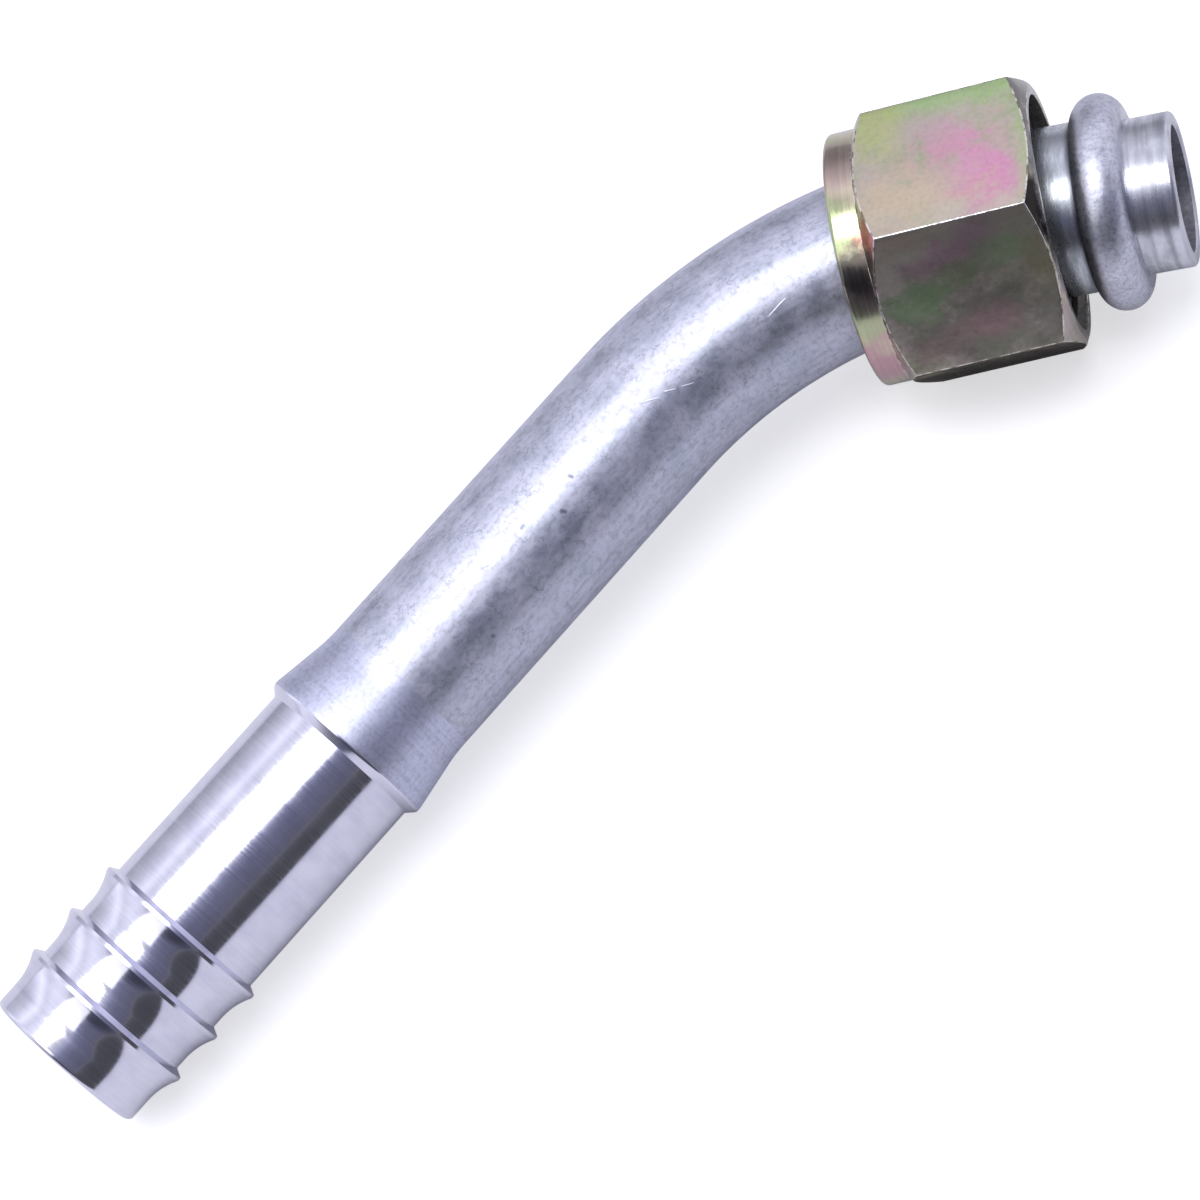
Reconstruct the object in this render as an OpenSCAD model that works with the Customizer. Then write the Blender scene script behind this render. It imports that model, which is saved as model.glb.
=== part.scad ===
// Air conditioning hose fitting: a bent aluminium tube with a barbed hose stem at one end,
// a beaded pilot at the other, and a captive swivel nut behind the bead.
// X runs along the straight end towards the pilot's mouth, and the origin is the middle of the bead.
// The fitting lies on a level surface: a flat of the nut and the first barb touch it. The loose nut
// has slid back onto the bend and leans with it.

/* [Tube] */
// Outside diameter of the tube
tube_od = 15.88; // [14:0.01:17]
// Wall of the tube
tube_wall = 1.27; // [0.9:0.01:1.7]
// Straight length of tube between the bend and the foot of the shoulder
leg_l = 42.6; // [20:0.1:80]
// Straight length of tube between the bend and the middle of the bead
straight_l = 12.6; // [11:0.1:30]

/* [Bend] */
// Angle that the tube turns through
bend_angle = 45; // [30:1:90]
// Radius of the bend at the middle of the tube
bend_r = 46.8; // [30:0.1:60]

/* [Pilot and bead] */
// Outside diameter of the pilot
pilot_od = 14.42; // [13:0.01:15.6]
// Wall of the pilot
pilot_wall = 1.28; // [0.9:0.01:1.7]
// Length from the middle of the bead to the mouth
pilot_l = 6.7; // [5:0.1:15]
// Radius of the rounded edge round the outside of the mouth
mouth_round = 0.45; // [0.1:0.05:0.6]
// Chamfer inside the mouth
mouth_chamfer = 0.2; // [0.05:0.05:0.4]
// Outside diameter of the upset bead
bead_od = 20.18; // [19:0.01:20.3]
// Radius of the bead's rounded section
bead_round = 2.4; // [2.2:0.05:3]

/* [Hose stem] */
// Diameter of the stem between its barbs
stem_od = 16.12; // [15:0.01:17]
// Bore of the stem
stem_bore = 12.8; // [11:0.1:13.5]
// Length of the stem from the foot of the shoulder to the tip
stem_l = 37.6; // [25:0.1:60]
// Number of barbs
barb_count = 3; // [1:1:4]
// Distance between barbs
barb_pitch = 5; // [4.2:0.05:6]
// Diameter over the barbs
barb_od = 17.8; // [17.1:0.01:18.4]
// Length from the tip to the first barb's crest
barb_first = 5.6; // [4.5:0.1:7]
// Length of the hollow slope that rises to each crest
barb_slope_l = 3.1; // [2.6:0.05:3.4]
// Width of each crest
barb_crest = 0.35; // [0.2:0.05:0.5]
// Length of the steep side behind each crest
barb_back = 0.45; // [0.2:0.05:0.6]
// Radius of the rounded edge at the tip
tip_round = 0.5; // [0.2:0.05:0.8]
// Chamfer inside the tip
tip_chamfer = 0.5; // [0.1:0.05:0.8]

/* [Shoulder] */
// Diameter of the shoulder that stops the hose
shoulder_od = 17.68; // [17.2:0.01:20]
// Width of the land behind the shoulder's chamfer
shoulder_land = 0.55; // [0.4:0.05:1.5]
// Radius of the rounded edge between the chamfer and the land
shoulder_round = 0.5; // [0.1:0.05:0.8]
// Length of the cone behind the land
shoulder_cone_l = 4.6; // [3:0.1:8]
// How far the cone ends above the tube
shoulder_cone_step = 0.2; // [0.1:0.05:0.4]

/* [Swivel nut] */
// Width across the nut's flats
nut_af = 24.7; // [24.5:0.1:30]
// Length of the nut
nut_l = 19.3; // [16:0.1:26]
// Diameter of the round collar at the nut's rear
nut_collar_d = 24.1; // [20:0.1:24.5]
// Length of the round collar
nut_collar_l = 2.8; // [1.5:0.1:5]
// Radius of the collar's rear edge
nut_collar_round = 0.4; // [0.1:0.05:0.8]
// Slope of the chamfer on the hexagon's rear corners
rear_chamfer_a = 36; // [20:1:45]
// Slope of the chamfer on the hexagon's front corners
front_chamfer_a = 28; // [20:1:45]
// Diameter at which the front chamfer meets the front face
front_face_d = 23.7; // [22.9:0.1:24]
// Thickness of the rear wall that pulls on the bead
nut_wall = 3.2; // [2:0.1:5]
// Inner diameter of the thread, at its crests
thread_minor_d = 20.5; // [20.4:0.05:21]
// Outer diameter of the thread, at its roots
thread_major_d = 22.2; // [21.5:0.05:22.4]
// Length of the runout groove behind the thread
runout_l = 2; // [1:0.1:3]
// Space between the nut's front face and the bead, where the nut has slid back
nut_to_bead = 2.6; // [0.5:0.1:5]
// Clearance round the tube in the nut's rear hole
nut_clearance = 0.85; // [0.7:0.05:1.2]

/* [Hidden] */

$fn = 96;
arc_steps = 8;
over = 1; // how far a cutting shape runs past what it cuts

tube_r = tube_od / 2;
tube_bore_r = tube_r - tube_wall;
pilot_r = pilot_od / 2;
pilot_bore_r = pilot_r - pilot_wall;
bead_centre_r = bead_od / 2 - bead_round;
stem_r = stem_od / 2;
barb_r = barb_od / 2;
barb_h = barb_r - stem_r;
// radius of the arc that leaves the stem level and climbs barb_h over barb_slope_l
barb_arc_r = (barb_slope_l * barb_slope_l + barb_h * barb_h) / (2 * barb_h);
shoulder_r = shoulder_od / 2;
shoulder_chamfer = shoulder_r - stem_r;
shoulder_cone_end_r = tube_r + shoulder_cone_step;
// the hollow blend leaves the cone at the cone's own slope and runs level into the tube
shoulder_blend_l = 2 * shoulder_cone_step * shoulder_cone_l / (shoulder_r - shoulder_cone_end_r);

nut_bore_r = tube_r + nut_clearance;
nut_corner_r = nut_af / sqrt(3);
thread_minor_r = thread_minor_d / 2;
thread_major_r = thread_major_d / 2;
nut_seat_l = thread_minor_r - nut_bore_r;

// places along the straight end, measured from the middle of the bead
bead_rear_x = -sqrt(bead_round * bead_round - pow(tube_r - bead_centre_r, 2));
nut_front_x = bead_rear_x - nut_to_bead;
bend_start_x = -straight_l;
end_l = pilot_l - bend_start_x;

// the nut leans level, so that its front is centred on the straight end and its rear wall on the bend
nut_front_l = nut_front_x - bend_start_x;
nut_grip_l = nut_l - nut_wall / 2;
nut_lean = atan2(bend_r, nut_front_l) - acos((pow(nut_grip_l, 2) + pow(nut_front_l, 2))
    / (2 * nut_grip_l * norm([nut_front_l, bend_r])));

// sideways distance from the straight end's axis to the edge of the first barb's crest
crest_l = leg_l + stem_l - barb_first;
crest_y = bend_r * (1 - cos(bend_angle)) + crest_l * sin(bend_angle);
// the bend leans about the straight end's axis until that crest is level with the nut's lower flat
rest_h = nut_af / 2;
crest_k = barb_r * sin(bend_angle);
lean_a = crest_y * crest_y + crest_k * crest_k;
lean_c = rest_h * rest_h - barb_r * barb_r;
lean = asin((rest_h * crest_y - sqrt(pow(rest_h * crest_y, 2) - lean_a * lean_c)) / lean_a);

// Points on an arc, in the plane of a revolved outline
function arc_points(centre, r, from, to, steps = arc_steps) =
    [for (i = [0:steps]) let (a = from + (to - from) * i / steps) centre + r * [cos(a), sin(a)]];

// A ring section of the tube
module tube_ring() {
    difference() {
        circle(r = tube_r);
        circle(r = tube_bore_r);
    }
}

// The outline of one barb, from its crest back to the tip side, for a stem that starts at the tip
function barb_outline(crest) = concat(
    [[stem_r, crest + barb_crest + barb_back], [barb_r, crest + barb_crest]],
    arc_points([stem_r + barb_arc_r, crest - barb_slope_l], barb_arc_r,
        180 - asin(barb_slope_l / barb_arc_r), 180)
);

// The hose stem, the shoulder and its blend into the tube: one revolved wall, with the tip at the bottom
module hose_stem_wall() {
    shoulder_foot = stem_l;
    shoulder_top = shoulder_foot + shoulder_chamfer;
    cone_start = shoulder_top + shoulder_land;
    cone_end = cone_start + shoulder_cone_l;
    blend_end = cone_end + shoulder_blend_l;
    rotate_extrude()
        polygon(concat(
            [[tube_bore_r, blend_end], [tube_r, blend_end]],
            [for (i = [1:arc_steps - 1]) let (u = i / arc_steps)
                [tube_r + shoulder_cone_step * u * u, blend_end - shoulder_blend_l * u]],
            [[shoulder_cone_end_r, cone_end], [shoulder_r, cone_start]],
            arc_points([shoulder_r - shoulder_round, shoulder_top + shoulder_round * tan(22.5)],
                shoulder_round, 0, -45),
            [[stem_r, shoulder_foot]],
            [for (n = [barb_count - 1:-1:0]) each barb_outline(barb_first + n * barb_pitch)],
            arc_points([stem_r - tip_round, tip_round], tip_round, 0, -90),
            [[stem_bore / 2 + tip_chamfer, 0], [stem_bore / 2, tip_chamfer],
                [stem_bore / 2, shoulder_foot], [tube_bore_r, cone_start]]
        ));
}

// The straight end: tube, upset bead and pilot, with the mouth at the top
module beaded_end_wall() {
    bead_l = -bend_start_x;
    rotate_extrude()
        difference() {
            union() {
                translate([tube_bore_r, 0]) square([tube_wall, bead_l]);
                translate([pilot_bore_r, bead_l]) square([pilot_wall, pilot_l]);
                intersection() {
                    translate([bead_centre_r, bead_l]) circle(r = bead_round);
                    translate([tube_bore_r, bead_l - bead_round]) square(2 * bead_round);
                }
                translate([pilot_bore_r, bead_l - bead_round])
                    square([tube_r - pilot_bore_r, bead_round + bead_round / 2]);
            }
            // the bore narrows under the bead
            polygon([[tube_bore_r, 0], [tube_bore_r, bead_l - bead_round], [pilot_bore_r, bead_l],
                [0, bead_l], [0, 0]]);
            // rounded edge outside the mouth, and a chamfer inside it
            polygon(concat(
                arc_points([pilot_r - mouth_round, end_l - mouth_round], mouth_round, 0, 90),
                [[pilot_r, end_l + over], [pilot_r + over, end_l]]));
            translate([pilot_bore_r, end_l])
                polygon([[-over, -mouth_chamfer], [0, -mouth_chamfer], [mouth_chamfer, 0],
                    [mouth_chamfer, over], [-over, over]]);
        }
}

// Bent tube with its hose stem, bead and pilot, all one piece of aluminium
module fitting_tube() {
    color([0.76, 0.76, 0.80])
        rotate([lean, 0, 0]) translate([bend_start_x, 0, 0]) {
            rotate([0, 90, 0]) beaded_end_wall();
            translate([0, -bend_r, 0]) {
                rotate([0, 0, 90]) rotate_extrude(angle = bend_angle) translate([bend_r, 0]) tube_ring();
                rotate([0, 0, 90 + bend_angle]) translate([bend_r, 0, 0]) rotate([-90, 0, 0]) {
                    linear_extrude(leg_l) tube_ring();
                    translate([0, 0, leg_l + stem_l]) rotate([180, 0, 0]) hose_stem_wall();
                }
            }
        }
}

// Swivel nut: hexagon with chamfered corners, round rear collar, plain rear hole and thread bore
module swivel_nut() {
    hex_l = nut_l - nut_collar_l;
    rear_cut = (nut_corner_r - nut_af / 2) * tan(rear_chamfer_a);
    front_cut = (nut_corner_r - front_face_d / 2) * tan(front_chamfer_a);
    mouth_bevel = thread_major_r - thread_minor_r;
    color([0.66, 0.63, 0.42])
        translate([nut_front_x, 0, 0]) rotate([0, 90, nut_lean]) translate([0, 0, -nut_l]) difference() {
            union() {
                intersection() {
                    translate([0, 0, nut_collar_l]) rotate(30) cylinder(r = nut_corner_r, h = hex_l, $fn = 6);
                    rotate_extrude()
                        polygon([[0, nut_collar_l], [nut_af / 2, nut_collar_l],
                            [nut_corner_r, nut_collar_l + rear_cut], [nut_corner_r, nut_l - front_cut],
                            [front_face_d / 2, nut_l], [0, nut_l]]);
                }
                rotate_extrude()
                    polygon(concat([[0, nut_collar_l + over], [0, 0]],
                        arc_points([nut_collar_d / 2 - nut_collar_round, nut_collar_round],
                            nut_collar_round, -90, 0),
                        [[nut_collar_d / 2, nut_collar_l + over]]));
            }
            rotate_extrude()
                polygon([[0, -over], [nut_bore_r, -over], [nut_bore_r, nut_wall],
                    [thread_minor_r, nut_wall + nut_seat_l], [thread_major_r, nut_wall + nut_seat_l],
                    [thread_major_r, nut_wall + nut_seat_l + runout_l],
                    [thread_minor_r, nut_wall + nut_seat_l + runout_l],
                    [thread_minor_r, nut_l - mouth_bevel], [thread_major_r, nut_l],
                    [thread_major_r, nut_l + over], [0, nut_l + over]]);
        }
}

fitting_tube();
swivel_nut();
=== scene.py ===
# Air conditioning hose fitting: a bent aluminium tube with a barbed hose stem and a beaded pilot,
# and a captive plated steel swivel nut. It lies on a pale surface and is seen from above.
from math import asin, cos, hypot, pi, radians, sin, sqrt, tan
import bpy
from mathutils import Matrix, Vector


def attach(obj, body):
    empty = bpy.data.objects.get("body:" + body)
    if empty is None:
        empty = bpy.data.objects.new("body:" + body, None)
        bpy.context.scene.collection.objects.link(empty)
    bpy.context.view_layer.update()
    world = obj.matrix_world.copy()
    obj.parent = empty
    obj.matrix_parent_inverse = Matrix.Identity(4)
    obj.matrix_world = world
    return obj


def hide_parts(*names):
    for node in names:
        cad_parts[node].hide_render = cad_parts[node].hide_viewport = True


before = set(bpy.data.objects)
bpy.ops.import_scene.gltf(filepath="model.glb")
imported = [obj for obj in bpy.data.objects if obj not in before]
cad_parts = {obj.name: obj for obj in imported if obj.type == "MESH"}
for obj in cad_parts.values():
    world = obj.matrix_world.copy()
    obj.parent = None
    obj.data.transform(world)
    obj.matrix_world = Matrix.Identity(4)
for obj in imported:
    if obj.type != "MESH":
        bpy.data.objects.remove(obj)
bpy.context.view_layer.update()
bpy.ops.object.select_all(action="DESELECT")
mm = 0.001

# The tube.
# One piece of drawn aluminium, bent cold. Its lower end is turned down to a hose stem with three
# barbs behind a chamfered shoulder, and its upper end is upset into a bead and sized to a pilot.
tube_r = 7.94 * mm
tube_bore_r = 6.67 * mm
leg_l = 42.6 * mm
straight_l = 12.6 * mm
bend_r = 46.8 * mm
bend_a = radians(45)
stem_l = 37.6 * mm
stem_r = 8.06 * mm
stem_bore_r = 6.4 * mm
tip_round = 0.5 * mm
tip_bevel = 0.5 * mm
barb_r = 8.9 * mm
barb_first = 5.6 * mm
barb_pitch = 5 * mm
barb_slope = 3.1 * mm
barb_crest = 0.35 * mm
barb_back = 0.45 * mm
shoulder_r = 8.84 * mm
shoulder_land = 0.55 * mm
shoulder_round = 0.5 * mm
cone_l = 4.6 * mm
cone_step = 0.2 * mm
bead_r = 10.09 * mm
bead_round = 2.4 * mm
pilot_r = 7.21 * mm
pilot_bore_r = 5.93 * mm
pilot_l = 6.7 * mm
mouth_round = 0.45 * mm
mouth_bevel = 0.2 * mm
bead_foot = 2.39 * mm
tube_sides = 160
bend_steps = 40
tip_steps = 6
barb_steps = 12
shoulder_steps = 5
blend_steps = 8
bead_steps = 32
tube_smooth = radians(28)
weld = 0.001 * mm

# the bend leans about the straight end, so that the first barb touches the surface it lies on
laid_a = radians(2.9809)
laid = Matrix.Rotation(laid_a, 3, "X")
straight_way = Vector((1, 0, 0))
bend_start = Vector((-straight_l, 0, 0))
bend_axis = laid @ Vector((0, 0, 1))
bend_centre = bend_start + laid @ Vector((0, -bend_r, 0))
leg_way = laid @ Vector((-cos(bend_a), -sin(bend_a), 0))
leg_out = laid @ Vector((-sin(bend_a), cos(bend_a), 0))
leg_start = bend_centre + bend_r * leg_out
tip = leg_start + (leg_l + stem_l) * leg_way


def arc(centre, r, first, last, steps):
    """Points on an arc of an outline, as pairs of distance along and radius."""
    turns = [first + (last - first) * n / steps for n in range(steps + 1)]
    return [(centre[0] + r * cos(a), centre[1] + r * sin(a)) for a in turns]


def draw_ring(outline, start, way):
    """Extrudes the selected ring along an outline of distances from start along way, and radii."""
    along, r = outline[0]
    for next_along, next_r in outline[1:]:
        bpy.ops.mesh.extrude_region_move(TRANSFORM_OT_translate={"value": (next_along - along) * way})
        bpy.ops.transform.resize(value=(next_r / r,) * 3, center_override=start + next_along * way)
        along, r = next_along, next_r


# the outline outside, from the tip to the bend: the first barb is nearest to the tip, and each has a
# hollow slope before its crest and a steep back behind it
shoulder_top = stem_l + shoulder_r - stem_r
cone_start = shoulder_top + shoulder_land
cone_end = cone_start + cone_l
blend_l = 2 * cone_step * cone_l / (shoulder_r - tube_r - cone_step)
barb_arc_r = (barb_slope ** 2 + (barb_r - stem_r) ** 2) / (2 * (barb_r - stem_r))
outside = [(0, stem_bore_r + tip_bevel)]
outside += arc((tip_round, stem_r - tip_round), tip_round, pi, pi / 2, tip_steps)
for barb in range(3):
    crest = barb_first + barb * barb_pitch
    outside += arc((crest - barb_slope, stem_r + barb_arc_r), barb_arc_r,
                   -pi / 2, -pi / 2 + asin(barb_slope / barb_arc_r), barb_steps)
    outside += [(crest + barb_crest, barb_r), (crest + barb_crest + barb_back, stem_r)]
outside += [(stem_l, stem_r)]
outside += arc((shoulder_top + shoulder_round * tan(pi / 8), shoulder_r - shoulder_round), shoulder_round,
               3 * pi / 4, pi / 2, shoulder_steps)
outside += [(cone_start, shoulder_r)]
outside += [(cone_end + blend_l * n / blend_steps, tube_r + cone_step * (1 - n / blend_steps) ** 2)
            for n in range(blend_steps + 1)]
outside += [(stem_l + leg_l, tube_r)]

# the outline of the straight end, over the bead to the mouth and back inside to the bend, and the
# outline inside the leg, back to the tip
bead_x = straight_l
mouth_x = bead_x + pilot_l
bead_rise = asin((tube_r - bead_r + bead_round) / bead_round)
bead_fall = asin((pilot_r - bead_r + bead_round) / bead_round)
round_end = [(0, tube_r)]
round_end += arc((bead_x, bead_r - bead_round), bead_round, pi - bead_rise, bead_fall, bead_steps)
round_end += arc((mouth_x - mouth_round, pilot_r - mouth_round), mouth_round, pi / 2, 0, tip_steps)
round_end += [(mouth_x, pilot_bore_r + mouth_bevel), (mouth_x - mouth_bevel, pilot_bore_r)]
round_end += [(bead_x, pilot_bore_r), (bead_x - bead_round, tube_bore_r), (0, tube_bore_r)]
leg_inside = [(stem_l + leg_l, tube_bore_r), (cone_start, tube_bore_r), (stem_l, stem_bore_r)]
leg_inside += [(tip_bevel, stem_bore_r), (0, stem_bore_r + tip_bevel)]

# one ring is drawn along the stem and the leg, round the bend, out over the bead and all the way back
bpy.ops.mesh.primitive_circle_add(vertices=tube_sides, radius=outside[0][1], location=tip,
                                  rotation=leg_way.to_track_quat("Z", "Y").to_euler())
tube = bpy.context.object
tube.name = "tube"
bpy.ops.object.transform_apply()
bpy.ops.object.mode_set(mode="EDIT")
bpy.ops.mesh.select_all(action="SELECT")
draw_ring(outside, tip, -leg_way)
bpy.ops.mesh.spin(steps=bend_steps, angle=bend_a, center=bend_centre, axis=bend_axis)
draw_ring(round_end, bend_start, straight_way)
bpy.ops.mesh.spin(steps=bend_steps, angle=-bend_a, center=bend_centre, axis=bend_axis)
draw_ring(leg_inside, tip, -leg_way)
bpy.ops.mesh.select_all(action="SELECT")
bpy.ops.mesh.remove_doubles(threshold=weld)
bpy.ops.mesh.normals_make_consistent(inside=False)
bpy.ops.object.mode_set(mode="OBJECT")
bpy.ops.object.shade_smooth_by_angle(angle=tube_smooth)

# every point also keeps its place on the tube before it was bent: how far from the tip, and round it
unbent = tube.data.attributes.new("unbent", "FLOAT_VECTOR", "POINT")
for point, place in zip(tube.data.vertices, unbent.data):
    from_bend = point.co - bend_centre
    on_leg = (point.co - leg_start).dot(leg_way)
    up = from_bend.dot(bend_axis)
    if on_leg > 0:
        place.vector = (stem_l + leg_l - on_leg, (point.co - leg_start).dot(leg_out), up)
    elif point.co.x > bend_start.x:
        place.vector = (stem_l + leg_l + bend_r * bend_a + point.co.x - bend_start.x,
                        from_bend.dot(laid @ Vector((0, 1, 0))) - bend_r, up)
    else:
        out = from_bend - up * bend_axis
        place.vector = (stem_l + leg_l + bend_r * out.angle(leg_out), out.length - bend_r, up)


def surface(name, colour, rough, metal=1.0):
    """A new material and its shader."""
    made = bpy.data.materials.new(name)
    made.use_nodes = True
    shader = made.node_tree.nodes["Principled BSDF"]
    shader.inputs["Base Color"].default_value = (*colour, 1)
    shader.inputs["Roughness"].default_value = rough
    shader.inputs["Metallic"].default_value = metal
    made.diffuse_color = (*colour, 1)
    return made, shader


def node(made, kind, settings=None, **sockets):
    """Adds a node to a material, with its settings, and values or links for its sockets."""
    added = made.node_tree.nodes.new("ShaderNode" + kind)
    for key, value in (settings or {}).items():
        setattr(added, key, value)
    for key, value in sockets.items():
        socket = added.inputs[int(key[1:])] if key[0] == "_" else added.inputs[key]
        if isinstance(value, bpy.types.NodeSocket):
            made.node_tree.links.new(value, socket)
        else:
            socket.default_value = value
    return added.outputs


def grain(made, place, stretch, detail=4.0, rough=0.55):
    """Noise on a place, with the number of its cells per millimetre along each axis."""
    turned = node(made, "Mapping", _0=place, _3=[1000 * n for n in stretch])
    return node(made, "TexNoise", Vector=turned[0], Scale=1.0, Detail=detail, Roughness=rough)[0]


def ramp(made, value, *stops):
    """A colour or grey for each height of a value."""
    outputs = node(made, "ValToRGB", Fac=value)
    steps = outputs[0].node.color_ramp
    while len(steps.elements) < len(stops):
        steps.elements.new(0.5)
    for step, (at, tone) in zip(steps.elements, stops):
        step.position = at
        step.color = (*tone, 1) if isinstance(tone, tuple) else (tone, tone, tone, 1)
    return outputs[0]


def blend(made, how, share, one, other):
    """Mixes two colours."""
    return node(made, "MixRGB", {"blend_type": how}, Fac=share, Color1=one, Color2=other)[0]


def raise_up(made, shader, *layers):
    """Bumps, each a height and its depth in millimetres."""
    normal = None
    for height, depth in layers:
        sockets = {"Height": height, "Distance": depth * mm, "Strength": 1.0}
        if normal:
            sockets["Normal"] = normal
        normal = node(made, "Bump", **sockets)[0]
    made.node_tree.links.new(normal, shader.inputs["Normal"])


def join(made, value, shader, socket):
    """Links a value to a socket of the shader."""
    made.node_tree.links.new(value, shader.inputs[socket])


def marks(made, place, width, *lines):
    """White on marks of a width between pairs of points, all in millimetres, with ragged sides."""
    ragged = grain(made, place, (1.5, 1.5, 1.5), 4, 0.7)
    nearest = 1.0
    for start, end in lines:
        start, end = Vector(start) * mm, Vector(end) * mm
        along = (end - start) / max((end - start).length_squared, 1e-12)
        off = node(made, "VectorMath", {"operation": "SUBTRACT"}, _0=place, _1=start)[0]
        share = node(made, "VectorMath", {"operation": "DOT_PRODUCT"}, _0=off, _1=along)["Value"]
        share = node(made, "Clamp", Value=share)[0]
        foot = node(made, "VectorMath", {"operation": "SCALE"}, _0=end - start, Scale=share)[0]
        far = node(made, "VectorMath", {"operation": "DISTANCE"}, _0=off, _1=foot)["Value"]
        nearest = node(made, "Math", {"operation": "MINIMUM"}, _0=nearest, _1=far)[0]
    spread = node(made, "Math", {"operation": "MULTIPLY_ADD"}, _0=ragged, _1=-1.6 * width * mm,
                  _2=nearest)[0]
    return node(made, "MapRange", {"clamp": True}, Value=spread, _1=-0.6 * width * mm, _2=0.2 * width * mm,
                _3=1.0, _4=0.0)[0]


# the drawn tube: satin, with faint darker clouds, a fine grain, thin wandering lines, and a few
# scratches and pits; its places are along the tube from the tip, out from the bend, and up
drawn, shader = surface("drawn_aluminium", (0.63, 0.645, 0.80), 0.35, 0.81)
place = node(drawn, "Attribute", {"attribute_name": "unbent"})[1]
clouds = grain(drawn, place, (0.3, 0.42, 0.42), 4, 0.55)
fine = grain(drawn, place, (1.6, 1.9, 1.9), 5, 0.7)
wander = grain(drawn, place, (0.6, 0.7, 0.7), 6, 0.62)
patchy = grain(drawn, place, (0.4, 0.4, 0.4), 4, 0.6)
tone = ramp(drawn, clouds, (0.36, (0.53, 0.56, 0.67)), (0.5, (0.61, 0.625, 0.75)),
            (0.62, (0.66, 0.67, 0.80)))
tone = blend(drawn, "MULTIPLY", 0.45, tone, ramp(drawn, fine, (0.38, 0.5), (0.52, 1.0)))
lines = ramp(drawn, wander, (0.482, 0.0), (0.5, 0.75), (0.518, 0.0))
lines = blend(drawn, "MULTIPLY", 1.0, lines, ramp(drawn, patchy, (0.5, 0.0), (0.6, 1.0)))
tone = blend(drawn, "MIX", lines, tone, (0.24, 0.25, 0.32, 1))
pits = marks(drawn, place, 0.26, ((70.2, -3.1, 7.3), (70.3, -3.3, 7.2)),
             ((67.3, -4.5, 6.5), (67.5, -4.7, 6.3)),
             ((63.7, -3.0, 7.3), (64.0, -3.0, 7.3)),
             ((54.6, -6.6, 4.4), (54.7, -6.6, 4.3)))
nick = marks(drawn, place, 0.07, ((59.6, 3.8, 7.0), (59.3, 0.9, 7.9)))
scratches = marks(drawn, place, 0.09, ((95.0, -4.9, 6.2), (97.5, -4.4, 6.6)),
                 ((79.7, -3.5, 7.1), (81.1, -4.2, 6.7)),
                 ((82.1, -4.3, 6.7), (83.0, -4.7, 6.4)),
                 ((83.7, -4.9, 6.2), (84.8, -5.3, 5.9)),
                 ((88.9, -3.6, 7.0), (90.5, -2.8, 7.4)))
streaks = grain(drawn, place, (0.04, 1.6, 1.6), 4)
tone = blend(drawn, "MULTIPLY", 0.2, tone, ramp(drawn, streaks, (0.38, 0.5), (0.55, 1.0)))
tone = blend(drawn, "MIX", pits, tone, (0.22, 0.23, 0.29, 1))
tone = blend(drawn, "MIX", nick, tone, (0.34, 0.35, 0.42, 1))
tone = blend(drawn, "MIX", scratches, tone, (0.92, 0.93, 1.0, 1))
join(drawn, tone, shader, "Base Color")
join(drawn, ramp(drawn, clouds, (0.37, 0.32), (0.5, 0.395), (0.62, 0.45)), shader, "Roughness")
raise_up(drawn, shader, (fine, 0.012), (wander, 0.022), (scratches, 0.015))

# the stem: turned bright, with the finest rings round it
turned, shader = surface("turned_aluminium", (0.80, 0.80, 0.90), 0.1)
place = node(turned, "Attribute", {"attribute_name": "unbent"})[1]
rings = grain(turned, place, (4, 0.03, 0.03), 4, 0.65)
smear = grain(turned, place, (0.5, 0.3, 0.3), 4)
tone = ramp(turned, smear, (0.3, (0.70, 0.70, 0.83)), (0.6, (0.80, 0.80, 0.92)))
tone = blend(turned, "MULTIPLY", 0.2, tone, ramp(turned, rings, (0.35, 0.7), (0.6, 1.0)))
scratches = marks(turned, place, 0.09, ((23.6, -3.0, 7.4), (24.6, -5.5, 5.8)),
                  ((23.6, -0.6, 8.0), (23.7, -1.6, 7.9)))
join(turned, blend(turned, "MIX", scratches, tone, (0.95, 0.95, 1.0, 1)), shader, "Base Color")
join(turned, ramp(turned, rings, (0.3, 0.08), (0.7, 0.17)), shader, "Roughness")
raise_up(turned, shader, (rings, 0.0006), (scratches, 0.01))

# the land and the cone behind the shoulder: satin, from the blank
blank, shader = surface("blank_aluminium", (0.62, 0.64, 0.80), 0.42)
place = node(blank, "Attribute", {"attribute_name": "unbent"})[1]
rings = grain(blank, place, (3, 0.05, 0.05), 4, 0.6)
fine = grain(blank, place, (2.2, 2.4, 2.4), 5, 0.7)
tone = ramp(blank, fine, (0.36, (0.52, 0.54, 0.68)), (0.55, (0.66, 0.68, 0.84)))
tone = blend(blank, "MULTIPLY", 0.3, tone, ramp(blank, rings, (0.35, 0.6), (0.6, 1.0)))
join(blank, tone, shader, "Base Color")
raise_up(blank, shader, (rings, 0.003), (fine, 0.01))


def crease_shade(made, place, tone, at, reach):
    """Darkens a colour near a station along the tube: painted shade in the crease there."""
    off = node(made, "SeparateXYZ", Vector=place)[0]
    off = node(made, "Math", {"operation": "SUBTRACT"}, _0=off, _1=at)[0]
    off = node(made, "Math", {"operation": "ABSOLUTE"}, _0=off)[0]
    share = node(made, "MapRange", {"interpolation_type": "SMOOTHSTEP"}, Value=off, _1=0.0, _2=reach,
                 _3=0.85, _4=0.0)
    return blend(made, "MIX", share[0], tone, (0.10, 0.10, 0.12, 1))


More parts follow.
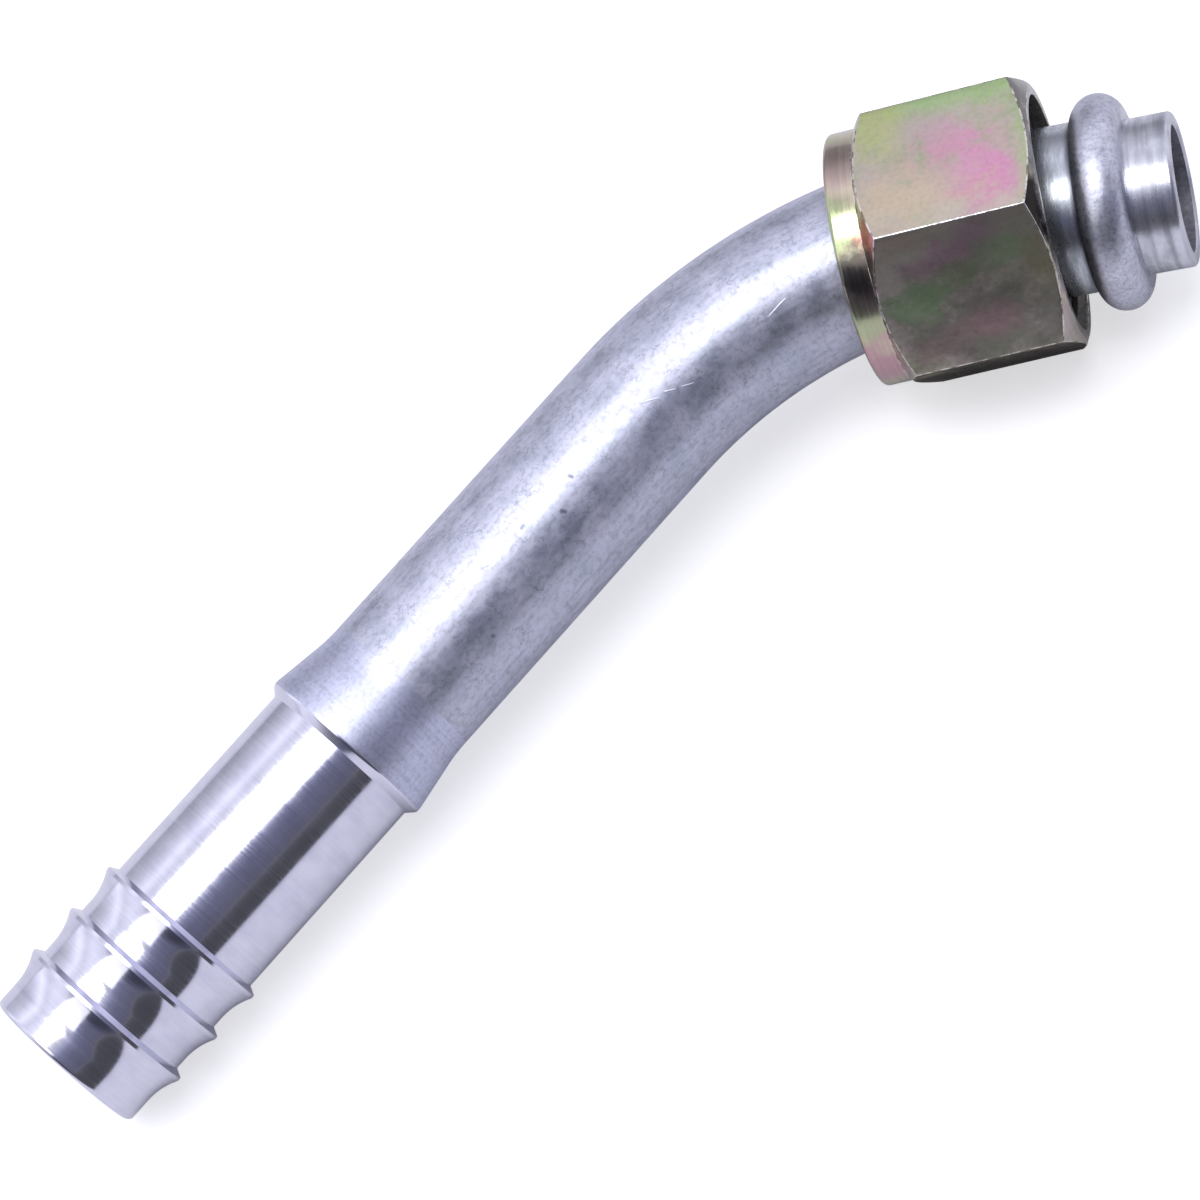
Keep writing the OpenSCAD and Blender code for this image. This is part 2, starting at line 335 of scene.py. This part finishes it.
# the bead: pressed between dies, grainy
straight_s = stem_l + leg_l + bend_r * bend_a
rear_foot = straight_s + bead_x - bead_foot
pressed, shader = surface("pressed_aluminium", (0.68, 0.69, 0.78), 0.37)
place = node(pressed, "Attribute", {"attribute_name": "unbent"})[1]
grit = grain(pressed, place, (2.6, 2.6, 2.6), 5, 0.7)
soft = grain(pressed, place, (0.5, 0.5, 0.5), 4, 0.6)
tone = ramp(pressed, grit, (0.36, (0.46, 0.47, 0.57)), (0.55, (0.70, 0.71, 0.80)))
tone = blend(pressed, "MULTIPLY", 0.4, tone, ramp(pressed, soft, (0.4, 0.65), (0.6, 1.0)))
# painted shade darkens the crease at the bead's rear foot
join(pressed, crease_shade(pressed, place, tone, rear_foot, 0.6 * mm), shader, "Base Color")
raise_up(pressed, shader, (grit, 0.022), (soft, 0.06))

# the tube just behind the bead: smoother and darker than the drawn tube
stub_finish, shader = surface("stub_aluminium", (0.50, 0.53, 0.58), 0.26)
place = node(stub_finish, "Attribute", {"attribute_name": "unbent"})[1]
rings = grain(stub_finish, place, (1.2, 0.25, 0.25), 5, 0.7)
tone = ramp(stub_finish, rings, (0.36, (0.36, 0.39, 0.42)), (0.6, (0.58, 0.61, 0.66)))
# painted shade darkens the crease at the bead's rear foot
join(stub_finish, crease_shade(stub_finish, place, tone, rear_foot, 0.45 * mm), shader, "Base Color")
join(stub_finish, ramp(stub_finish, rings, (0.3, 0.34), (0.65, 0.22)), shader, "Roughness")
raise_up(stub_finish, shader, (rings, 0.02))

# the pilot: turned to size with a coarser tool
sized, shader = surface("sized_aluminium", (0.62, 0.63, 0.70), 0.28)
place = node(sized, "Attribute", {"attribute_name": "unbent"})[1]
rings = grain(sized, place, (1.3, 0.09, 0.09), 4, 0.6)
cloudy = grain(sized, place, (0.6, 0.35, 0.35), 4, 0.6)
tone = ramp(sized, rings, (0.38, (0.50, 0.51, 0.57)), (0.6, (0.74, 0.75, 0.82)))
tone = blend(sized, "MULTIPLY", 0.5, tone, ramp(sized, cloudy, (0.38, 0.55), (0.6, 1.0)))
join(sized, tone, shader, "Base Color")
join(sized, ramp(sized, cloudy, (0.3, 0.36), (0.65, 0.22)), shader, "Roughness")
raise_up(sized, shader, (rings, 0.006), (cloudy, 0.02))

# the bore: as drawn, dull
bored, shader = surface("bore_aluminium", (0.36, 0.36, 0.41), 0.6)
place = node(bored, "Attribute", {"attribute_name": "unbent"})[1]
dull = grain(bored, place, (1.5, 2, 2), 5, 0.7)
join(bored, ramp(bored, dull, (0.35, (0.26, 0.26, 0.30)), (0.6, (0.42, 0.42, 0.47))), shader, "Base Color")
raise_up(bored, shader, (dull, 0.02))

# each face gets the finish of its stretch of the tube
finishes = (drawn, turned, pressed, sized, bored, blank, stub_finish)
for made in finishes:
    tube.data.materials.append(made)
edge = 0.3 * mm
near = 0.1 * mm
for face in tube.data.polygons:
    places = [unbent.data[n].vector for n in face.vertices]
    s = sum(p.x for p in places) / len(places)
    r = min(hypot(p.y, p.z) for p in places)
    bead_s = s - straight_s - bead_x
    finish = drawn
    if r < tube_bore_r + 0.1 * near and s > edge and bead_s < pilot_l - edge:
        finish = bored
    elif s < shoulder_top + near:
        finish = turned
    elif s < cone_end + blend_l:
        finish = blank
    elif abs(bead_s) < bead_round - near and r > tube_r - 0.5 * near:
        finish = pressed
    elif s > straight_s:
        finish = sized if bead_s > 0 else stub_finish
    face.material_index = finishes.index(finish)
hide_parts("fitting_tube")
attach(tube, "tube")

# The swivel nut.
# Hexagon steel bar, turned, drilled and threaded, then plated with zinc and passivated yellow. The
# bead holds it on the tube, and it turns freely.
nut_af = 24.7 * mm
nut_l = 19.3 * mm
collar_r = 12.05 * mm
collar_l = 2.8 * mm
collar_round = 0.4 * mm
front_r = 11.85 * mm
nut_wall = 3.2 * mm
hole_r = 8.79 * mm
crest_r = 10.25 * mm
root_r = 11.1 * mm
runout_l = 2 * mm
hole_bevel = 0.25 * mm
thread_pitch = 1.814 * mm
wear_w = 0.1 * mm
wear_room = 0.17 * mm
wear_steps = 3
wear_from = radians(24)
nut_sides = 192
nut_smooth = radians(22)
past = 0.1 * mm
spare = 1 * mm

# the nut lies slid back on the start of the bend, so it leans in the plane of the surface
nut_lean = radians(3.5388)
nut_way = Vector((cos(nut_lean), sin(nut_lean), 0))
nut_front = Vector((-4.987 * mm, 0, 0))
nut_rear = nut_front - nut_l * nut_way
corner_r = nut_af / sqrt(3)
rear_slope = tan(radians(36))
front_slope = tan(radians(28))
rear_cut = (corner_r - nut_af / 2) * rear_slope
front_cut = (corner_r - front_r) * front_slope
along_nut = (0, pi / 2, nut_lean)


def turned_solid(name, outline):
    """A closed solid turned about the nut's axis, from an outline measured from the nut's rear."""
    bpy.ops.mesh.primitive_circle_add(vertices=nut_sides, radius=outline[0][1], fill_type="NGON",
                                      rotation=along_nut, location=nut_rear + outline[0][0] * nut_way)
    solid = bpy.context.object
    solid.name = name
    bpy.ops.object.transform_apply()
    bpy.ops.object.mode_set(mode="EDIT")
    bpy.ops.mesh.select_all(action="SELECT")
    draw_ring(outline, nut_rear, nut_way)
    bpy.ops.mesh.select_all(action="SELECT")
    bpy.ops.mesh.normals_make_consistent(inside=False)
    bpy.ops.object.mode_set(mode="OBJECT")
    bpy.ops.object.select_all(action="DESELECT")
    return solid


def combine(piece, how, tool):
    """Joins, keeps or cuts with another solid, which is then used up."""
    bpy.context.view_layer.objects.active = piece
    step = piece.modifiers.new(how, "BOOLEAN")
    step.operation = how
    step.solver = "EXACT"
    step.object = tool
    bpy.ops.object.modifier_apply(modifier=step.name)
    bpy.data.objects.remove(tool)


# a length of hexagon bar, both its ends chamfered by turning; the rear chamfer starts a little inside
# the flats, which leaves room for the worn edge, and the turned solids reach past what they cut
hex_l = nut_l - collar_l
bpy.ops.mesh.primitive_cylinder_add(vertices=6, radius=corner_r, depth=hex_l, rotation=along_nut,
                                    location=nut_rear + (collar_l + hex_l / 2) * nut_way)
nut = bpy.context.object
nut.name = "nut"
bpy.ops.object.transform_apply()
bpy.ops.object.select_all(action="DESELECT")
combine(nut, "INTERSECT", turned_solid("chamfers", [
    (collar_l - past, nut_af / 2 - wear_room - past / rear_slope),
    (collar_l + rear_cut + past * rear_slope, corner_r + past),
    (nut_l - front_cut - past * front_slope, corner_r + past),
    (nut_l + past, front_r - past / front_slope)]))

# the collar behind it, and the bore: rear hole, conical seat, and the thread's root to the mouth
rim = arc((collar_round, collar_r - collar_round), collar_round, pi, pi / 2, tip_steps)
combine(nut, "UNION", turned_solid("collar", [
    (0, collar_r - collar_round), *rim, (collar_l + spare, collar_r)]))
seat_l = crest_r - hole_r
combine(nut, "DIFFERENCE", turned_solid("bore", [
    (-spare, hole_r + hole_bevel), (0, hole_r + hole_bevel), (hole_bevel, hole_r), (nut_wall, hole_r),
    (nut_wall + seat_l, crest_r), (nut_wall + seat_l, root_r), (nut_l + spare, root_r)]))
bpy.ops.object.mode_set(mode="EDIT")
bpy.ops.mesh.select_all(action="SELECT")
bpy.ops.mesh.remove_doubles(threshold=4 * weld)
bpy.ops.mesh.normals_make_consistent(inside=False)
bpy.ops.object.mode_set(mode="OBJECT")


def on_nut(made):
    """Places measured from the middle of the nut's rear: along its axis, level across it, and up."""
    back = Matrix.Rotation(-nut_lean, 3, "Z") @ -nut_rear
    return node(made, "Mapping", _0=node(made, "TexCoord")[3], _1=back, _2=(0, 0, -nut_lean))[0]


def stains_and_painted_light(made, place, tone, *spots):
    """Clouds of other colours, each with its middle, its reach and its share, all with ragged edges; they
    serve both as real stains and as painted light and shade.
    """
    ragged = grain(made, place, (0.45, 0.45, 0.45), 5, 0.65)
    for colour, middle, reach, share in spots:
        near = node(made, "Mapping", _0=place, _1=[-m / r for m, r in zip(middle, reach)],
                    _3=[1000 / r for r in reach])[0]
        far = node(made, "VectorMath", {"operation": "LENGTH"}, _0=near)["Value"]
        far = node(made, "Math", {"operation": "MULTIPLY_ADD"}, _0=ragged, _1=2.4, _2=far)[0]
        fade = node(made, "MapRange", {"interpolation_type": "SMOOTHSTEP"}, Value=far, _1=1.5, _2=2.5,
                    _3=share, _4=0.0)
        tone = blend(made, "MIX", fade[0], tone, (*colour, 1))
    return tone


# the flats of the bar: satin, with the passivation's clouds of green, pink and violet; the first stains lie
# on the upper flat, the next on the side flat, and the last is painted shade, which darkens the flat below
# it that faces the surface; a few others are painted light and shade, each marked
plated, shader = surface("plated_steel", (0.50, 0.46, 0.38), 0.3)
shader.inputs["Specular Tint"].default_value = (0.4, 0.38, 0.36, 1)
place = on_nut(plated)
patches = grain(plated, place, (0.14, 0.14, 0.14), 4, 0.6)
tone = ramp(plated, patches, (0.38, (0.38, 0.44, 0.27)), (0.46, (0.50, 0.47, 0.37)),
            (0.56, (0.54, 0.47, 0.42)), (0.66, (0.56, 0.40, 0.44)))
tone = stains_and_painted_light(plated, place, tone,
             ((0.60, 0.40, 0.42), (13, -2, 12.4), (9, 6, 3), 0.6),
             ((0.70, 0.32, 0.48), (11.7, 1.4, 12.4), (3, 3, 3), 0.6),
             ((0.70, 0.32, 0.50), (14.2, -1.8, 12.4), (3.5, 3, 3), 0.65),
             ((0.70, 0.31, 0.50), (16.2, -3.8, 12.4), (3, 2.6, 3), 0.65),
             ((0.68, 0.30, 0.44), (13.3, -5.2, 12.4), (3.5, 2.4, 3), 0.7),
             ((0.38, 0.56, 0.24), (13, 7.4, 12.4), (12, 2.6, 3), 0.8),
             ((0.40, 0.55, 0.27), (19.5, -1, 12.4), (1.8, 8, 3), 0.7),
             ((0.50, 0.55, 0.23), (5.6, 5, 12.4), (3, 4, 3), 0.7),
             ((0.52, 0.44, 0.42), (10, 3.6, 12.4), (3, 2, 3), 0.5),
             # painted light: the upper flat lighter towards its rear and the ridge
             ((0.60, 0.50, 0.37), (7, -4.2, 12.4), (7, 4.6, 3), 0.85),
             # painted light and shade: the side flat lighter near the ridge and darker towards its lower
             # corner
             ((0.54, 0.51, 0.42), (9, -8.6, 9.6), (16, 4, 5), 0.9),
             ((0.21, 0.205, 0.17), (13, -12.6, 2.6), (14, 5, 7), 0.85),
             ((0.46, 0.36, 0.31), (6.3, -7.6, 11.4), (4, 2, 1.5), 0.6),
             ((0.60, 0.38, 0.48), (12.9, -8.3, 10.3), (3, 2, 2), 0.7),
             ((0.56, 0.36, 0.44), (9.6, -8.9, 9.4), (3, 2, 1.6), 0.7),
             ((0.44, 0.29, 0.33), (7.1, -9.2, 8.7), (2.2, 2, 1.4), 0.6),
             ((0.37, 0.50, 0.28), (15, -8.9, 9.2), (3, 2, 2), 0.7),
             ((0.32, 0.41, 0.23), (10.8, -9.7, 7.8), (3, 2, 1.4), 0.6),
             ((0.28, 0.42, 0.22), (6.4, -10.6, 6.3), (3, 2, 2.4), 0.7),
             ((0.42, 0.40, 0.24), (18, -10, 7.2), (2, 3, 3), 0.6),
             ((0.36, 0.23, 0.24), (12.4, -12.4, 3.2), (4, 2, 1.8), 0.7),
             ((0.36, 0.25, 0.24), (6.6, -13.5, 1.3), (3, 2, 1.8), 0.6),
             # painted shade: the flat below, which faces the surface, darkened almost to black
             ((0.08, 0.074, 0.066), (11, -9.6, -7.6), (26, 5.2, 8.6), 0.92))
fine = grain(plated, place, (2.2, 2.2, 2.2), 4, 0.65)
tone = blend(plated, "MULTIPLY", 0.22, tone, ramp(plated, fine, (0.35, 0.6), (0.55, 1.0)))
join(plated, tone, shader, "Base Color")
join(plated, ramp(plated, patches, (0.3, 0.36), (0.7, 0.28)), shader, "Roughness")
raise_up(plated, shader, (patches, 0.08))

# edges worn through the plating in places
bright, shader = surface("worn_steel", (0.86, 0.85, 0.82), 0.26)
place = on_nut(bright)
fine = grain(bright, place, (1.0, 1.0, 1.0), 5, 0.7)
tone = ramp(bright, fine, (0.42, (0.52, 0.48, 0.40)), (0.6, (0.78, 0.74, 0.67)))
tone = stains_and_painted_light(bright, place, tone, ((0.97, 0.96, 0.94), (11, -7.1, 12.4), (8.5, 1.5, 1.5), 0.95),
             ((0.95, 0.94, 0.92), (19.3, -7, 12), (1.5, 1.5, 1.5), 0.9))
tone = blend(bright, "MULTIPLY", 1.0, tone, ramp(bright, fine, (0.43, 0.4), (0.51, 1.0)))
join(bright, tone, shader, "Base Color")

# the collar, chamfers and front face: turned, so smoother, with fine rings
lathed, shader = surface("lathed_steel", (0.62, 0.56, 0.38), 0.14)
place = on_nut(lathed)
rings = grain(lathed, place, (5, 0.04, 0.04), 4, 0.6)
patches = grain(lathed, place, (0.12, 0.12, 0.12), 4, 0.6)
tone = ramp(lathed, patches, (0.36, (0.44, 0.52, 0.28)), (0.46, (0.62, 0.57, 0.40)),
            (0.56, (0.66, 0.57, 0.44)), (0.66, (0.64, 0.44, 0.42)))
tone = stains_and_painted_light(lathed, place, tone,
             # painted shade: the front face and chamfers darkened, more at the far top and near-black where
             # the ridge meets the front chamfer
             ((0.34, 0.31, 0.30), (19.6, 3, 8), (2.2, 20, 20), 0.9),
             ((0.17, 0.16, 0.15), (18.8, 6, 12.4), (3, 6, 5), 0.9),
             ((0.03, 0.025, 0.025), (18.8, -7.1, 12.4), (3, 4.6, 7), 0.98),
             ((0.55, 0.47, 0.46), (18.6, -14.2, 0), (2, 2.5, 4), 0.8),
             ((0.64, 0.20, 0.20), (3.8, -7, 12.2), (1.6, 4, 3), 0.9),
             ((0.62, 0.46, 0.44), (1.4, 2.5, 12), (4, 4.6, 4), 0.8),
             # painted shade: a dark band round the collar next to its highlight
             ((0.12, 0.11, 0.10), (1.4, -8, 9), (4, 2.4, 2.4), 0.9),
             ((0.46, 0.56, 0.32), (1.4, -10.9, 5.2), (3, 2.2, 2.2), 0.7),
             ((0.62, 0.33, 0.42), (1.4, -12, -0.8), (3, 3, 3.5), 0.8))
tone = blend(lathed, "MULTIPLY", 0.4, tone, ramp(lathed, rings, (0.35, 0.7), (0.6, 1.0)))
join(lathed, tone, shader, "Base Color")
join(lathed, ramp(lathed, rings, (0.3, 0.12), (0.7, 0.22)), shader, "Roughness")
raise_up(lathed, shader, (rings, 0.001), (patches, 0.04))

# the bore and the thread: thinly plated, dark
threaded, shader = surface("threaded_steel", (0.20, 0.19, 0.17), 0.35)
place = on_nut(threaded)
fine = grain(threaded, place, (1.5, 1.5, 1.5), 5, 0.7)
tone = ramp(threaded, fine, (0.35, (0.13, 0.12, 0.11)), (0.6, (0.26, 0.25, 0.22)))
join(threaded, tone, shader, "Base Color")

# the worn edges are rounded, and each other face gets its finish: a flat is one face, square to the
# line from the axis to its middle, and the faces of the bore look inwards or lie across it
metals = (plated, bright, lathed, threaded)
for made in metals:
    nut.data.materials.append(made)
wear = nut.modifiers.new("wear", "BEVEL")
wear.limit_method = "ANGLE"
wear.angle_limit = wear_from
wear.width = wear_w
wear.segments = wear_steps
wear.material = metals.index(bright)
wear.use_clamp_overlap = False
bpy.context.view_layer.objects.active = nut
nut.select_set(True)
bpy.ops.object.modifier_apply(modifier=wear.name)
for face in nut.data.polygons:
    along = (face.center - nut_rear).dot(nut_way)
    level = face.center - nut_rear - along * nut_way
    across = abs(face.normal.dot(nut_way)) > 0.99
    square = face.normal.angle(level) < radians(31.5)
    flat = square and abs(level.dot(face.normal) - nut_af / 2) < 0.1 * past
    inward = level.dot(face.normal) < -spare or across and collar_l + past < along < nut_l - past
    if face.material_index == metals.index(plated) and not flat:
        face.material_index = metals.index(threaded if inward else lathed)

# the thread: one rib wound inside the mouth
thread_from = nut_wall + seat_l + runout_l
thread_end = nut_l - 0.5 * mm
turns = (thread_end - thread_from) / thread_pitch
turn_steps = 96
rib_w = 0.86 * thread_pitch
rib_crest = 0.16
rib_sunk = 0.15 * mm
rib_h = root_r + rib_sunk - crest_r
rib_middle = Vector((thread_from, 0, crest_r + rib_h / 2))
bpy.ops.mesh.primitive_plane_add(size=rib_w, location=rib_middle, rotation=(pi / 2, 0, 0))
thread = bpy.context.object
thread.name = "thread"
bpy.ops.object.transform_apply()
bpy.ops.object.mode_set(mode="EDIT")
bpy.ops.transform.resize(value=(1, 1, rib_h / rib_w), center_override=rib_middle)
bpy.ops.mesh.select_all(action="DESELECT")
bpy.ops.object.mode_set(mode="OBJECT")
for point in thread.data.vertices:
    point.select = point.co.z < rib_middle.z
bpy.ops.object.mode_set(mode="EDIT")
bpy.ops.transform.resize(value=(rib_crest, 1, 1), center_override=rib_middle)
bpy.ops.object.mode_set(mode="OBJECT")
winding = thread.modifiers.new("winding", "SCREW")
winding.axis = "X"
winding.angle = 2 * pi * turns
winding.screw_offset = thread_pitch * turns
winding.steps = int(turn_steps * turns)
winding.render_steps = winding.steps
winding.use_merge_vertices = False
bpy.ops.object.modifier_apply(modifier=winding.name)
bpy.ops.object.mode_set(mode="EDIT")
bpy.ops.mesh.select_all(action="SELECT")
bpy.ops.mesh.remove_doubles(threshold=weld)
bpy.ops.mesh.fill_holes(sides=4)
bpy.ops.mesh.select_all(action="SELECT")
bpy.ops.mesh.normals_make_consistent(inside=False)
bpy.ops.object.mode_set(mode="OBJECT")
thread.rotation_euler = (0, 0, nut_lean)
thread.location = nut_rear
bpy.ops.object.transform_apply()
thread.data.materials.append(threaded)
nut.select_set(True)
thread.select_set(True)
bpy.context.view_layer.objects.active = nut
bpy.ops.object.join()
bpy.ops.object.shade_smooth_by_angle(angle=nut_smooth)
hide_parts("swivel_nut")
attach(nut, "nut")

# The stage.
# A pale surface that the fitting lies on, a room that is bright behind it and dark before it, two
# soft lamps over it, and the camera where the photo was taken from.
floor_w = 6
bpy.ops.mesh.primitive_plane_add(size=floor_w, location=(0, 0, -nut_af / 2))
floor = bpy.context.object
floor.name = "floor"
bpy.ops.object.transform_apply()
paper, shader = surface("paper", (0.65, 0.65, 0.68), 0.9, 0.0)
rays = node(paper, "LightPath")
glow = node(paper, "Math", {"operation": "MULTIPLY"}, _0=rays["Is Glossy Ray"], _1=0.05)[0]
glow = node(paper, "Math", {"operation": "MULTIPLY_ADD"}, _0=rays["Is Camera Ray"], _1=0.6, _2=glow)[0]
shader.inputs["Emission Color"].default_value = (1, 1, 1, 1)
join(paper, glow, shader, "Emission Strength")
floor.data.materials.append(paper)

# the room, bright behind the fitting and dark on the side from which it is seen, with a dark corner;
# its thin bright line is the one that the turned stem mirrors
room = bpy.data.worlds.new("room")
bpy.context.scene.world = room
room.use_nodes = True
way = node(room, "TexCoord")[0]
side = node(room, "VectorMath", {"operation": "DOT_PRODUCT"}, _0=way, _1=(0.175, -0.47, 0.0))["Value"]
side = node(room, "Math", {"operation": "ADD"}, _0=side, _1=0.5)[0]
shade = ramp(room, side, (0.02, 0.35), (0.067, 0.62), (0.125, 0.85), (0.2, 1.25), (0.275, 0.9), (0.35, 1.05),
             (0.41, 1.05), (0.5, 0.9), (0.65, 0.6), (0.7, (0.40, 0.415, 0.52)), (0.73, (0.25, 0.26, 0.34)),
             (0.8, (0.175, 0.18, 0.23)), (0.9, (0.145, 0.147, 0.18)), (0.907, 0.135), (0.911, 0.26),
             (0.915, 0.13), (0.94, 0.09), (1.0, 0.08))
corner_way = Vector((-0.60, -0.72, 0.35)).normalized()
corner = node(room, "VectorMath", {"operation": "DOT_PRODUCT"}, _0=way, _1=corner_way)["Value"]
shade = blend(room, "MULTIPLY", 1.0, shade, ramp(room, corner, (0.86, 1.0), (0.95, 0.35)))
shade = blend(room, "MULTIPLY", 1.0, shade, (0.92, 0.92, 1.04, 1))
shade = blend(room, "MIX", node(room, "LightPath")["Is Camera Ray"], shade, (1, 1, 1, 1))
join(room, shade, room.node_tree.nodes["Background"], "Color")

# two soft lamps, both facing down: one over the tube, and one that shows in the barbs' hollows
lamp_up = 0.6
for name, across, size, watts, turn in (("overhead", (-0.046, -0.086), (0.54, 0.245), 1.46, -10),
                                        ("beside", (-0.57, -0.47), (0.9, 0.42), 1.4, 40)):
    lamp = bpy.data.lights.new(name, "AREA")
    lamp.shape = "RECTANGLE"
    lamp.size, lamp.size_y = size
    lamp.energy = watts
    held = bpy.data.objects.new(name, lamp)
    bpy.context.collection.objects.link(held)
    held.location = (*across, lamp_up)
    held.rotation_euler = (0, 0, radians(turn))

# the camera, fitted to the outline of the fitting in the photo
eye = bpy.data.cameras.new("camera")
eye.sensor_width = 36
eye.lens = 111.139
eye.clip_start = 0.01
camera = bpy.data.objects.new("camera", eye)
bpy.context.collection.objects.link(camera)
right = Vector((0.94601, 0.00539, -0.32409))
forward = Vector((-0.28401, 0.49564, -0.82078))
camera.matrix_world = Matrix((right, right.cross(forward), -forward)).transposed().to_4x4()
camera.location = (46.444 * mm, -200.919 * mm, 277.699 * mm)
bpy.context.scene.camera = camera
bpy.context.scene.view_settings.view_transform = "Standard"
